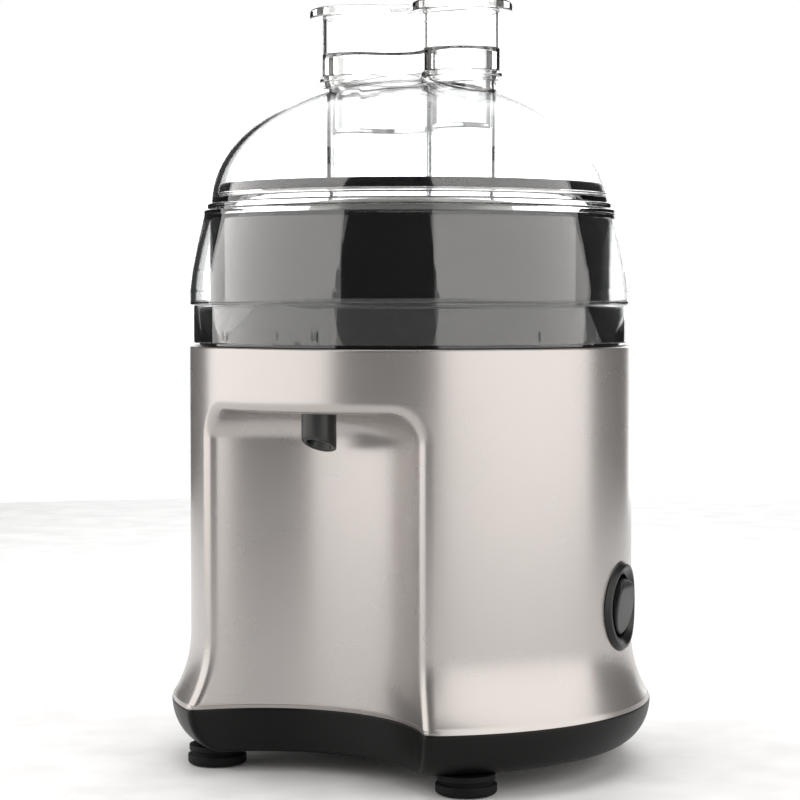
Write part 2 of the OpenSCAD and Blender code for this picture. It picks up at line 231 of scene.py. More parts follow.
def lathe(name, profile, segments=160, at=(0, 0), sharp=38):
    """A closed (radius, z) profile turned about a vertical line through at. Radius 0 makes a pole."""
    verts, faces, rings = [], [], []
    for r, z in profile:
        if r < 1e-6:
            rings.append([len(verts)] * segments)
            verts.append((at[0], at[1], z))
            continue
        rings.append(list(range(len(verts), len(verts) + segments)))
        for k in range(segments):
            a = math.tau * k / segments
            verts.append((at[0] + r * math.cos(a), at[1] + r * math.sin(a), z))
    for i, ring in enumerate(rings):
        upper = rings[(i + 1) % len(rings)]
        if ring[0] == ring[1] and upper[0] == upper[1]:
            continue
        for k in range(segments):
            m = (k + 1) % segments
            face = [ring[k], ring[m], upper[m], upper[k]]
            faces.append([v for n, v in enumerate(face) if v != face[n - 1]])
    return piece(name, verts, faces, sharp)


def box_tool(name, size, matrix):
    """A block of that size in millimetres, centred on the origin of a matrix in metres."""
    half = [s / 2 for s in size]
    verts = [(x * half[0], y * half[1], z * half[2]) for x in (-1, 1) for y in (-1, 1) for z in (-1, 1)]
    faces = [(0, 1, 3, 2), (4, 6, 7, 5), (0, 4, 5, 1), (2, 3, 7, 6), (0, 2, 6, 4), (1, 5, 7, 3)]
    obj = piece(name, verts, faces)
    obj.data.transform(matrix)
    return obj


def turned(degrees, x=0.0, y=0.0, z=0.0):
    """Matrix in metres that moves by x, y, z in millimetres and then turns about the drive axis."""
    return Matrix.Rotation(math.radians(degrees), 4, "Z") @ Matrix.Translation(Vector((x, y, z)) * MM)


# ---- Materials ----


def principled(name, colour, rough, metal=0.0, **sockets):
    """A Principled material with those values on its own sockets, with its nodes, links and shader."""
    material = bpy.data.materials.new(name)
    material.use_nodes = True
    nodes, links = material.node_tree.nodes, material.node_tree.links
    shader = nodes["Principled BSDF"]
    shader.inputs["Base Color"].default_value = (*colour, 1)
    shader.inputs["Roughness"].default_value = rough
    shader.inputs["Metallic"].default_value = metal
    for key, value in sockets.items():
        shader.inputs[key.replace("_", " ")].default_value = value
    return material, nodes, links, shader


def noise(nodes, links, scale, detail=2.0, stretch=(1, 1, 1)):
    """A noise texture in the object's own coordinates. Scale is in features per metre."""
    coordinates = nodes.new("ShaderNodeTexCoord")
    mapping = nodes.new("ShaderNodeMapping")
    mapping.inputs["Scale"].default_value = stretch
    texture = nodes.new("ShaderNodeTexNoise")
    texture.inputs["Scale"].default_value = scale
    texture.inputs["Detail"].default_value = detail
    links.new(coordinates.outputs["Object"], mapping.inputs["Vector"])
    links.new(mapping.outputs["Vector"], texture.inputs["Vector"])
    return texture.outputs["Fac"]


def vary_roughness(nodes, links, shader, source, least, most):
    """Drives the roughness between two values from a texture."""
    span = nodes.new("ShaderNodeMapRange")
    span.inputs["From Min"].default_value = 0.3
    span.inputs["From Max"].default_value = 0.7
    span.inputs["To Min"].default_value = least
    span.inputs["To Max"].default_value = most
    links.new(source, span.inputs["Value"])
    links.new(span.outputs["Result"], shader.inputs["Roughness"])


def vary_colour(nodes, links, shader, source, dark, light):
    """Drives the base colour between two tones from a texture."""
    ramp = nodes.new("ShaderNodeValToRGB")
    ramp.color_ramp.elements[0].position = 0.35
    ramp.color_ramp.elements[0].color = (*dark, 1)
    ramp.color_ramp.elements[1].position = 0.65
    ramp.color_ramp.elements[1].color = (*light, 1)
    links.new(source, ramp.inputs["Fac"])
    links.new(ramp.outputs["Color"], shader.inputs["Base Color"])


def bump(nodes, links, shader, source, strength, depth):
    """Fine surface relief from a texture. Depth is in metres."""
    relief = nodes.new("ShaderNodeBump")
    relief.inputs["Strength"].default_value = strength
    relief.inputs["Distance"].default_value = depth
    links.new(source, relief.inputs["Height"])
    links.new(relief.outputs["Normal"], shader.inputs["Normal"])


def moulded(name, colour, rough, grain=2500, relief=0.12, **sockets):
    """Moulded plastic or rubber: fine grain, and slow changes of tone and gloss."""
    material, nodes, links, shader = principled(name, colour, rough, **sockets)
    fine = noise(nodes, links, grain, 3)
    bump(nodes, links, shader, fine, relief, 0.0001)
    slow = noise(nodes, links, 30, 3)
    vary_roughness(nodes, links, shader, slow, rough * 0.9, rough * 1.15)
    vary_colour(nodes, links, shader, slow, [c * 0.94 for c in colour], [c * 1.06 for c in colour])
    return material


def satin_silver():
    """Metallic paint: small bright flakes in a warm grey base, under a thin satin coat."""
    material, nodes, links, shader = principled(
        "satin_silver", (0.42, 0.397, 0.383), 0.27, 0.76, Coat_Weight=0.2, Coat_Roughness=0.2)
    flakes = nodes.new("ShaderNodeTexVoronoi")
    coordinates = nodes.new("ShaderNodeTexCoord")
    flakes.inputs["Scale"].default_value = 3500
    links.new(coordinates.outputs["Object"], flakes.inputs["Vector"])
    vary_colour(nodes, links, shader, flakes.outputs["Distance"],
                (0.427, 0.403, 0.389), (0.413, 0.39, 0.377))
    slow = noise(nodes, links, 18, 3)
    vary_roughness(nodes, links, shader, slow, 0.25, 0.29)
    bump(nodes, links, shader, noise(nodes, links, 1400, 2), 0.02, 0.0001)
    return material


def brushed(name, colour, rough, stretch, lines=260, metal=1.0):
    """Brushed or drawn metal, with its lines along the short axis of stretch."""
    material, nodes, links, shader = principled(name, colour, rough, metal)
    grain = noise(nodes, links, lines, 4, stretch)
    bump(nodes, links, shader, grain, 0.18, 0.0001)
    vary_roughness(nodes, links, shader, grain, rough * 0.8, rough * 1.3)
    return material


def clear_plastic(name, colour):
    """Clear moulded plastic, with the faint unevenness that moulding leaves."""
    material, nodes, links, shader = principled(name, colour, 0.02, Transmission_Weight=1.0, IOR=1.46)
    vary_roughness(nodes, links, shader, noise(nodes, links, 14, 2), 0.0, 0.035)
    bump(nodes, links, shader, noise(nodes, links, 22, 1), 0.03, 0.002)
    return material


def banded(name, colour, dark, rough, metal, scale, direction):
    """Stacked sheets or wound wire: fine bands along one axis."""
    material, nodes, links, shader = principled(name, colour, rough, metal)
    coordinates = nodes.new("ShaderNodeTexCoord")
    wave = nodes.new("ShaderNodeTexWave")
    wave.bands_direction = direction
    wave.inputs["Scale"].default_value = scale
    wave.inputs["Distortion"].default_value = 0.4
    links.new(coordinates.outputs["Object"], wave.inputs["Vector"])
    bump(nodes, links, shader, wave.outputs["Fac"], 0.5, 0.0003)
    vary_colour(nodes, links, shader, wave.outputs["Fac"], dark, colour)
    return material


SILVER = satin_silver()
TRAY_BLACK = moulded("tray_black", (0.005, 0.0048, 0.0047), 0.36, relief=0.10, Specular_IOR_Level=0.15)
BOWL_BLACK = moulded("bowl_black", (0.012, 0.0115, 0.011), 0.07, relief=0.0,
                     Coat_Weight=0.4, Coat_Roughness=0.03)
SPOUT_BLACK = moulded("spout_black", (0.012, 0.012, 0.012), 0.28, relief=0.05)
RUBBER = moulded("foot_rubber", (0.005, 0.005, 0.005), 0.62, 1800, 0.3, Specular_IOR_Level=0.15)
SEAL = moulded("seal_rubber", (0.018, 0.018, 0.018), 0.12, 1800, 0.03)
BEZEL_BLACK = moulded("bezel_black", (0.008, 0.008, 0.008), 0.3, Specular_IOR_Level=0.3)
ROCKER_GREY = moulded("rocker_grey", (0.014, 0.014, 0.014), 0.4, Specular_IOR_Level=0.3)
CLEAR = clear_plastic("clear_plastic", (0.945, 0.952, 0.957))
PUSHER_CLEAR = clear_plastic("pusher_plastic", (0.885, 0.885, 0.88))
WHITE = moulded("basket_white", (0.74, 0.73, 0.69), 0.35, relief=0.06)
STEEL = brushed("steel", (0.66, 0.66, 0.67), 0.24, (1, 1, 6))
ZINC = brushed("zinc_steel", (0.55, 0.55, 0.54), 0.34, (1, 1, 0.4), 500)
LAMINATION = banded("lamination", (0.24, 0.22, 0.21), (0.10, 0.09, 0.09), 0.5, 0.8, 600, "Z")
COPPER = banded("copper", (0.62, 0.30, 0.16), (0.32, 0.12, 0.06), 0.35, 0.9, 500, "Z")
BRASS = brushed("brass", (0.72, 0.55, 0.27), 0.3, (5, 1, 1))

CAD_MATERIALS = {
    "black_plastic": TRAY_BLACK, "foot_rubber": RUBBER, "switch_black": BEZEL_BLACK, "seal_rubber": SEAL,
    "steel": STEEL, "zinc_steel": ZINC, "basket_white": WHITE, "lamination": LAMINATION, "copper": COPPER,
    "brass": BRASS, "fan_white": WHITE, "silver_paint": SILVER, "bowl_black": BOWL_BLACK,
    "rocker_grey": ROCKER_GREY, "clear_plastic": CLEAR,
}


def paint_cad_nodes():
    """Gives every CAD node the material of its slot, which those that stay in view show."""
    for row in frame["record"]["subparts"]:
        slots = frame["nodes"][row["node"]].data.materials
        slots.clear()
        slots.append(CAD_MATERIALS[row["material_slot"]])


# ---- Base: housing and tray, whose outline is the round wall with the alcove cut into its front ----

ALCOVE_COLUMNS = 72
WALL_COLUMNS = 170


def wall_radius(z):
    """Radius of the housing's wall: straight, then flaring out towards the seam."""
    rise = np.clip((FLARE_TOP - z) / (FLARE_TOP - SEAM_Z), 0, None)
    return HOUSING_R + (FLARE_R - HOUSING_R) * rise ** 2.2


def edge_angle(radius):
    """Angle about the alcove's axis at which the alcove meets a wall of that radius."""
    return math.acos((ALCOVE_R ** 2 + ALCOVE_OFFSET ** 2 - radius ** 2) / (2 * ALCOVE_R * ALCOVE_OFFSET))


def alcove_shares():
    """Columns across the alcove, from -1 to 1, closer together at its edges."""
    t = np.linspace(-1, 1, ALCOVE_COLUMNS + 1)
    return np.sin(t * math.pi / 2)


def wall_columns(radius, z):
    """Points of the round wall from the alcove's right edge round the back to its left edge."""
    beta = edge_angle(radius)
    start = math.atan2(ALCOVE_R * math.sin(beta), ALCOVE_OFFSET - ALCOVE_R * math.cos(beta))
    t = np.linspace(-1, 1, WALL_COLUMNS + 1)[1:-1]
    eased = 0.8 * t + 0.2 * np.sin(t * math.pi / 2)
    eased = np.sign(eased) * (1 - (1 - np.abs(eased)) ** 1.25)
    phi = math.pi + eased * (math.pi - start)
    return [(radius * math.sin(a), -radius * math.cos(a), z) for a in phi]


def outline_row(radius, z):
    """One level of the base: across the alcove from left to right, then round the wall."""
    beta = edge_angle(radius) * alcove_shares()
    front = [(ALCOVE_R * math.sin(b), ALCOVE_R * math.cos(b) - ALCOVE_OFFSET, z) for b in beta]
    return front + wall_columns(radius, z)


def smooth_max(a, b, k):
    """The larger of two distances, blended over k, which rounds the edge between two surfaces."""
    near = np.clip(k - np.abs(a - b), 0, None) / k
    return np.maximum(a, b) + near * near * k / 4


def alcove_distance(p):
    """Distance outside the alcove's space, negative inside it."""
    across = np.hypot(p[:, 0], p[:, 1] + ALCOVE_OFFSET) - (ALCOVE_R - ALCOVE_ROUND)
    up = p[:, 2] - (ALCOVE_TOP - ALCOVE_ROUND)
    outside = np.hypot(np.clip(across, 0, None), np.clip(up, 0, None))
    return outside + np.clip(np.maximum(across, up), None, 0) - ALCOVE_ROUND


def settle(points, field, axes):
    """Moves points onto the surface where the field is zero, along its gradient in those axes."""
    p = np.array(points, float)
    step = 0.01
    for _ in range(8):
        value = field(p)
        slope = np.zeros_like(p)
        for axis in axes:
            moved = p.copy()
            moved[:, axis] += step
            slope[:, axis] = (field(moved) - value) / step
        p -= slope * (value / np.maximum((slope ** 2).sum(1), 1e-6))[:, None]
    length = np.maximum(np.linalg.norm(slope, axis=1), 1e-6)
    return p, slope / length[:, None]


def resample(path, count):
    """That many points evenly along a path."""
    path = np.array(path, float)
    along = np.concatenate([[0], np.cumsum(np.linalg.norm(np.diff(path, axis=0), axis=1))])
    at = np.linspace(0, along[-1], count)
    return np.stack([np.interp(at, along, path[:, k]) for k in (0, 1)], 1)


def alcove_path(beta, bottom, top, count):
    """Radii and heights about the alcove's axis: up its wall, under its ceiling, out and up the front."""
    reach = ALCOVE_OFFSET * math.cos(beta)
    leave = reach - math.sqrt(max(HOUSING_R ** 2 - (ALCOVE_OFFSET * math.sin(beta)) ** 2, 0))
    path = [(ALCOVE_R, bottom)]
    for k in range(41):
        a = math.pi / 2 * k / 40
        r = ALCOVE_R - ALCOVE_ROUND * (1 - math.cos(a))
        if r > leave:
            path.append((r, ALCOVE_TOP - ALCOVE_ROUND * (1 - math.sin(a))))
    path += [(leave, path[-1][1]), (leave, top)]
    return resample(path, count)


def housing():
    """The silver shell: flared wall, alcove with a rounded ceiling, soft edges and the switch's hole."""
    plain_top, lip_top, lip_rows, edge = 116.0, 149.0, 52, 0.9
    rows = []
    for z in np.concatenate([SEAM_Z + np.array([0.02, 0.12, 0.35, 0.7, 1.2]),
                             np.linspace(24, FLARE_TOP, 20),
                             np.linspace(FLARE_TOP + 4, plain_top - 2, 18)]):
        rows.append(outline_row(float(wall_radius(z)), z))
    betas = edge_angle(HOUSING_R) * alcove_shares()
    paths = [alcove_path(b, plain_top, lip_top, lip_rows) for b in betas]
    for k, z in enumerate(np.linspace(plain_top, lip_top, lip_rows)):
        front = [(path[k][0] * math.sin(b), path[k][0] * math.cos(b) - ALCOVE_OFFSET, path[k][1])
                 for path, b in zip(paths, betas)]
        rows.append(front + wall_columns(HOUSING_R, z))
    last = np.array(rows[-1])
    for z in np.concatenate([np.linspace(lip_top, HOUSING_TOP - 1.2, 7)[1:],
                             HOUSING_TOP - np.array([0.9, 0.55, 0.25, 0.07, 0.0])]):
        last[:, 2] = z
        rows.append([tuple(v) for v in last])

    def field(p):
        wall = np.hypot(p[:, 0], p[:, 1]) - wall_radius(p[:, 2])
        return smooth_max(wall, -alcove_distance(p), 4.2)

    columns = len(rows[0])
    points = np.array(rows).reshape(-1, 3)
    normals = np.zeros_like(points)
    levels = np.repeat(np.array(rows)[:, -1, 2], columns)
    lip = (levels >= plain_top) & (levels <= lip_top)
    for part, axes in ((lip, (0, 1, 2)), (~lip, (0, 1))):
        points[part], normals[part] = settle(points[part], field, axes)
    near = np.minimum(points[:, 2] - SEAM_Z, HOUSING_TOP - points[:, 2])
    inset = edge - np.sqrt(np.clip(edge ** 2 - np.clip(edge - near, 0, edge) ** 2, 0, None))
    normals[:, 2] = 0
    points -= normals * inset[:, None]
    obj = piece("housing_shell", points, grid_faces(len(rows), columns))
    shell = obj.modifiers.new("thickness", "SOLIDIFY")
    shell.thickness = 2.2 * MM
    shell.offset = -1
    bpy.context.view_layer.update()
    apply_modifiers(obj)
    hole_r, reach = WELL_R + 1.1, 10
    hole = lathe("switch_hole", [(0, -reach), (hole_r, -reach), (hole_r, reach), (0, reach)], 64)
    hole.data.transform(turned(SWITCH_TURN, HOUSING_R, 0, SWITCH_Z) @ Matrix.Rotation(math.pi / 2, 4, "Y"))
    combine(obj, "DIFFERENCE", hole, sharp=60)
    return finish_piece(obj, "base", "silver_paint", SILVER, "housing")


def base_tray():
    """The black tray: its side curves under to a flat bottom with vent slots."""
    depth, edge = SEAM_Z - TRAY_LOW, 0.9
    rows = []
    angles = np.radians(np.concatenate([[90, 89.7, 88.5, 86], np.linspace(82, 8, 22), [5, 3, 1.5, 0]]))
    for a in angles:
        radius = TRAY_FLAT_R + (FLARE_R - TRAY_FLAT_R) * math.sin(a)
        rows.append(outline_row(radius, SEAM_Z - depth * math.cos(a)))
    levels = np.array([SEAM_Z - depth * math.cos(a) for a in angles])
    radii = np.array([TRAY_FLAT_R + (FLARE_R - TRAY_FLAT_R) * math.sin(a) for a in angles])

    def field(p):
        wall = np.hypot(p[:, 0], p[:, 1]) - np.interp(p[:, 2], levels[::-1], radii[::-1])
        alcove = ALCOVE_R - np.hypot(p[:, 0], p[:, 1] + ALCOVE_OFFSET)
        return smooth_max(wall, alcove, 3.0)

    points, normals = settle(np.array(rows).reshape(-1, 3), field, (0, 1))
    columns = len(rows[0])
    weight = np.zeros(columns)
    weight[:ALCOVE_COLUMNS + 1] = np.clip((1 - np.abs(alcove_shares())) * 20, 0, 1)
    weight = np.tile(weight, len(rows))
    under = np.clip(edge - (points[:, 2] - TRAY_LOW), 0, edge)
    inset = (edge - np.sqrt(np.clip(edge ** 2 - under ** 2, 0, None))) * weight
    upper = np.clip(0.5 - (SEAM_Z - points[:, 2]), 0, 0.5)
    inset += 0.5 - np.sqrt(np.clip(0.25 - upper ** 2, 0, None))
    points -= normals * inset[:, None]
    faces = grid_faces(len(rows), columns)
    faces.append(list(range((len(rows) - 1) * columns, len(rows) * columns)))
    obj = piece("base_tray_shell", points, faces)
    shell = obj.modifiers.new("thickness", "SOLIDIFY")
    shell.thickness = 2.4 * MM
    shell.offset = -1
    bpy.context.view_layer.update()
    apply_modifiers(obj)
    slots = []
    for row in range(5):
        for side in (-1, 1):
            slots.append(slot_tool(side * 29, 18 + 9 * row, 28, 3))
    combine(obj, "DIFFERENCE", join("vents", slots))
    return finish_piece(obj, "base", "black_plastic", TRAY_BLACK, "base_tray")


def slot_tool(x, y, length, width):
    """An upright slot with round ends, through the tray's floor."""
    outline = []
    for end in (-1, 1):
        for k in range(9):
            a = math.pi / 2 * end * -1 + math.pi * k / 8 if end == 1 else math.pi / 2 + math.pi * k / 8
            outline.append((x + end * (length - width) / 2 + width / 2 * math.cos(a),
                            y + width / 2 * math.sin(a)))
    count = len(outline)
    verts = [(u, v, z) for z in (TRAY_LOW - 4, TRAY_LOW + 8) for u, v in outline]
    faces = grid_faces(2, count) + [list(range(count))[::-1], list(range(count, 2 * count))]
    return piece("slot", verts, faces)


def feet():
    """Four rubber feet, each with a groove round it and a screw recess beneath."""
    profile = rounded([(0, 3.6, 0), (4.2, 3.6, 0.3), (4.2, 0, 0.5), (11.5, 0, 1.3), (11.5, 3.7, 0.7),
                       (9.9, 4.6, 0.4), (10.9, 5.4, 0.4), (10.9, 7.6, 0.3), (0, 7.6, 0)])
    for i in range(4):
        a = math.radians(45 + 90 * i)
        at = (FOOT_RING_R * math.cos(a), FOOT_RING_R * math.sin(a))
        obj = lathe(f"rubber_foot_{i + 1}", profile, 72, at)
        finish_piece(obj, "base", "foot_rubber", RUBBER, f"foot_{i + 1}")


def cord_gland():
    """Rubber gland at the back, with a flange and fine ribs."""
    back = high("cord_gland").y
    corners = [(3.6, back - 9.4, 0.5), (7.6, back - 9.4, 0.6), (7.6, back - 7, 0.5), (6, back - 7, 0),
               (6, back - 3.4, 0), (8, back - 3.4, 0.3), (8, back - 0.8, 0.8), (6, back - 0.8, 0.3),
               (6, back, 0.5), (3.6, back, 0.5)]
    obj = lathe("cord_gland_rubber", rounded(corners), 64)
    level = (low("cord_gland").z + 8) * MM
    obj.data.transform(Matrix.Translation((0, 0, level)) @ Matrix.Rotation(-math.pi / 2, 4, "X"))
    return finish_piece(obj, "base", "foot_rubber", RUBBER, "cord_gland")


# ---- Switch ----


def on_switch(points):
    """Moves points from the switch's own frame (x along the wall, y up, z outwards) to the housing."""
    turn = Matrix.Rotation(math.radians(SWITCH_TURN), 4, "Z")
    return [tuple(turn @ Vector((z, x, y + SWITCH_Z))) for x, y, z in points]


def switch_bezel():
    """The round bezel, which follows the housing's curve, with a sloped edge down to the rocker."""
    section = rounded([(WELL_R, -7, 0.3), (WELL_R, 0.2, 0.5), (WELL_R + 1.4, 1.3, 0.5),
                       (WELL_R + 2.4, 2.1, 0.5), (BEZEL_R - 1.4, 2.1, 0.9),
                       (BEZEL_R, 0.4, 0.6), (BEZEL_R, -0.9, 0.2),
                       (WELL_R + 2.2, -0.9, 0.2), (WELL_R + 2.2, -7, 0.3)], 4)
    segments, verts = 120, []
    for radius, lift in section:
        for k in range(segments):
            a = math.tau * k / segments
            x, y = radius * math.cos(a), radius * math.sin(a)
            verts.append((x, y, math.sqrt(HOUSING_R ** 2 - x * x) + lift))
    obj = piece("bezel_ring", on_switch(verts), grid_faces(len(section), segments, closed_rows=True))
    return finish_piece(obj, "base", "switch_black", BEZEL_BLACK, "switch_bezel")


def rocker():
    """The round rocker: its upper half stands out, and a soft ridge crosses it."""
    pivot = 85.0
    rings, segments = 22, 96
    verts = [(0, 0, pivot + rocker_height(0))]
    for i in range(1, rings + 1):
        radius = ROCKER_R * math.sin(math.pi / 2 * i / rings)
        for k in range(segments):
            a = math.tau * k / segments
            y = radius * math.sin(a)
            drop = 0.9 - math.sqrt(max(0.81 - max(radius - ROCKER_R + 0.9, 0) ** 2, 0))
            verts.append((radius * math.cos(a), y, pivot + rocker_height(y) - drop))
    for k in range(segments):
        a = math.tau * k / segments
        verts.append((ROCKER_R * math.cos(a), ROCKER_R * math.sin(a), pivot + 3))
    faces = [(0, 1 + k, 1 + (k + 1) % segments) for k in range(segments)]
    faces += [tuple(v + 1 for v in face) for face in grid_faces(rings + 1, segments)]
    faces.append([1 + rings * segments + k for k in range(segments)][::-1])
    obj = piece("rocker_button", on_switch(verts), faces)
    return finish_piece(obj, "switch", "rocker_grey", ROCKER_GREY, "rocker")


def rocker_height(y):
    """Height of the rocker's face above its pivot: a ramp with a soft crest near the top."""
    crest, low_end = 8.0, -13.0
    rise = 3.2 + (y - low_end) / (crest - low_end) * 2.6
    past = max(y - crest + 1.5, 0)
    return rise - 0.12 * past * past


# ---- Juice path ----


def juice_spout():
    """The black spout, cut on a slant so that its front is shorter, with a rounded lip."""
    slope = math.tan(math.radians(25))
    top = high("juice_spout").z
    lip = rounded([(SPOUT_BORE_R, 40, 0), (SPOUT_BORE_R, 0, 0.8), (SPOUT_R, 0, 0.8), (SPOUT_R, 40, 0)], 5)
    segments, verts = 72, []
    for r, lift in lip:
        for k in range(segments):
            a = math.tau * k / segments
            end = SPOUT_LOW + (SPOUT_R - r * math.sin(a)) * slope
            z = top if lift == 40 else end + lift
            verts.append((r * math.cos(a), SPOUT_Y + r * math.sin(a), z))
    obj = piece("spout_tube", verts, grid_faces(len(lip), segments, closed_rows=True))
    return finish_piece(obj, "base", "black_plastic", SPOUT_BLACK, "juice_spout")


def bowl():
    """The pulp bowl: glossy wall and skirt, inner ring, hub tube, spout opening and four locking lugs."""
    floor = BOWL_LOW + 4.99
    corners = [(9, floor - 1.5, 0.3), (SKIRT_R - 1.8, floor - 1.5, 0.2), (SKIRT_R - 1.8, BOWL_LOW, 0.3),
               (SKIRT_R, BOWL_LOW, 0.5), (SKIRT_R, STEP_Z, 1.1), (BOWL_R, STEP_Z, 0.35),
               (BOWL_R, BOWL_TOP, 0.9), (BOWL_R - 2.2, BOWL_TOP, 0.6), (BOWL_R - 2.2, floor + 1, 3),
               (61, floor + 1, 1.2), (61, INNER_RING_TOP, 0.8), (59, INNER_RING_TOP, 0.8),
               (59, floor + 1.1, 2), (11, floor + 3, 1), (11, floor + 8, 0.5), (9, floor + 8, 0.5)]
    obj = lathe("bowl_body", rounded(corners), 224)
    lugs = []
    for i in range(4):
        lugs.append(lug(90 * i))
    combine(obj, "UNION", join("lugs", lugs))
    under, over = floor - 5, floor + 9
    drain = lathe("drain", [(0, under), (SPOUT_BORE_R, under), (SPOUT_BORE_R, over), (0, over)],
                  48, (0, SPOUT_Y))
    combine(obj, "DIFFERENCE", drain)
    return finish_piece(obj, "base", "bowl_black", BOWL_BLACK, "bowl")


def lug(turn):
    """A locking lug on the bowl's skirt, with rounded ends."""
    outer, inner, half, z = SKIRT_R + 1.2, SKIRT_R - 0.6, LUG_WIDTH / 2, 167.05
    outline = rounded([(inner, -half, 0), (outer, -half, 0.9), (outer, half, 0.9), (inner, half, 0)], 4)
    count = len(outline)
    verts = [(x, y, level) for level in (z, z + 2.9) for x, y in outline]
    faces = grid_faces(2, count) + [list(range(count))[::-1], list(range(count, 2 * count))]
    obj = piece("lug", verts, faces)
    obj.data.transform(turned(turn))
    return obj


# ---- Basket ----


def filter_mesh():
    """The perforated steel cone: rows of small slots between solid bands."""
    columns, holes = 150, 15
    low_r, high_r = BASKET_FLOOR_R - 0.1, BASKET_RING_R - 4.2
    low_z, high_z, wall = 182.1, RING_Z + 3, 0.45
    levels = [low_z]
    pitch = (high_z - low_z - 4) / holes
    for k in range(holes):
        levels += [low_z + 2 + pitch * (k + 0.25), low_z + 2 + pitch * (k + 0.8)]
    levels.append(high_z)
    verts = []
    for side in (wall / 2, -wall / 2):
        for z in levels:
            r = low_r + (high_r - low_r) * (z - low_z) / (high_z - low_z) + side
            for k in range(columns * 2):
                a = math.tau * (k // 2 + (0.5 if k % 2 else 0.0)) / columns
                verts.append((r * math.cos(a), r * math.sin(a), z))
    wide, rows = columns * 2, len(levels)
    back = rows * wide
    faces = []
    for i in range(rows - 1):
        for j in range(wide):
            m = (j + 1) % wide
            a, b, c, d = i * wide + j, i * wide + m, (i + 1) * wide + m, (i + 1) * wide + j
            if i % 2 == 1 and j % 2 == 0:
                faces += [(p, q, q + back, p + back) for p, q in ((a, b), (b, c), (c, d), (d, a))]
            else:
                faces += [(a, b, c, d), (d + back, c + back, b + back, a + back)]
    for j in range(wide):
        m = (j + 1) % wide
        top = (rows - 1) * wide
        faces += [(j, m, m + back, j + back), (top + j, top + m, top + m + back, top + j + back)]
    obj = piece("filter_cone", verts, faces, 30)
    return finish_piece(obj, "drive", "steel", STEEL, "filter_mesh")


def basket_ring():
    """The basket's moulded top ring, with rounded edges."""
    r = BASKET_RING_R
    corners = [(r - 3.3, 0, 0.3), (r - 2.3, 0, 0.3), (r - 1.6, 4, 0.8), (r + 1.4, 7.4, 0.6),
               (r + 1.4, 9, 0.7), (r - 2.4, 9, 0.7), (r - 4.6, 5.5, 0.8),
               (r - 4.6, 3.02, 0.2), (r - 3.3, 3.02, 0.1)]
    obj = lathe("basket_top_ring", rounded(corners, 4), 160)
    obj.data.transform(Matrix.Translation((0, 0, RING_Z * MM)))
    return finish_piece(obj, "drive", "basket_white", WHITE, "basket_ring")


# ---- Lid and pusher ----


def kidney(grow):
    """Outline of the chute grown by that much: two lobes, a straight back and a hollow front."""
    notch = (LOBE_HALF ** 2 + WAIST ** 2 - LOBE_R ** 2) / (2 * LOBE_R - 2 * WAIST)
    centre = notch + WAIST
    lean = math.atan2(centre, LOBE_HALF)
    r = LOBE_R + grow
    points = []
    for k in range(33):
        a = -math.pi + lean + (1.5 * math.pi - lean) * k / 32
        points.append((LOBE_HALF + r * math.cos(a), r * math.sin(a)))
    for k in range(1, 12):
        points.append((LOBE_HALF * (1 - k / 6), r))
    for k in range(33):
        a = math.pi / 2 + (1.5 * math.pi - lean) * k / 32
        points.append((r * math.cos(a) - LOBE_HALF, r * math.sin(a)))
    for k in range(1, 24):
        a = math.pi - lean + (2 * lean - math.pi) * k / 24
        points.append(((notch - grow) * math.cos(a), (notch - grow) * math.sin(a) - centre))
    return [(x + CHUTE_AT[0], y + CHUTE_AT[1]) for x, y in points]


def kidney_sweep(name, profile, caps=True, sharp=38):
    """A kidney-shaped solid from (grow, z) levels, closed by flat ends or back to its first level."""
    verts = [(x, y, z) for grow, z in profile for x, y in kidney(grow)]
    count = len(kidney(0))
    faces = grid_faces(len(profile), count, closed_rows=not caps)
    if caps:
        faces += [list(range(count))[::-1], list(range((len(profile) - 1) * count, len(profile) * count))]
    return piece(name, verts, faces, sharp)


def dome(shrink, steps=36):
    """Dome profile from the locking ridges up to the axis, moved in by shrink."""
    points = []
    for k in range(steps + 1):
        a = math.pi / 2 * k / steps
        points.append(((DOME_R - shrink) * math.cos(a), DOME_Z + (DOME_RISE - shrink) * math.sin(a)))
    points[-1] = (0, points[-1][1])
    return points


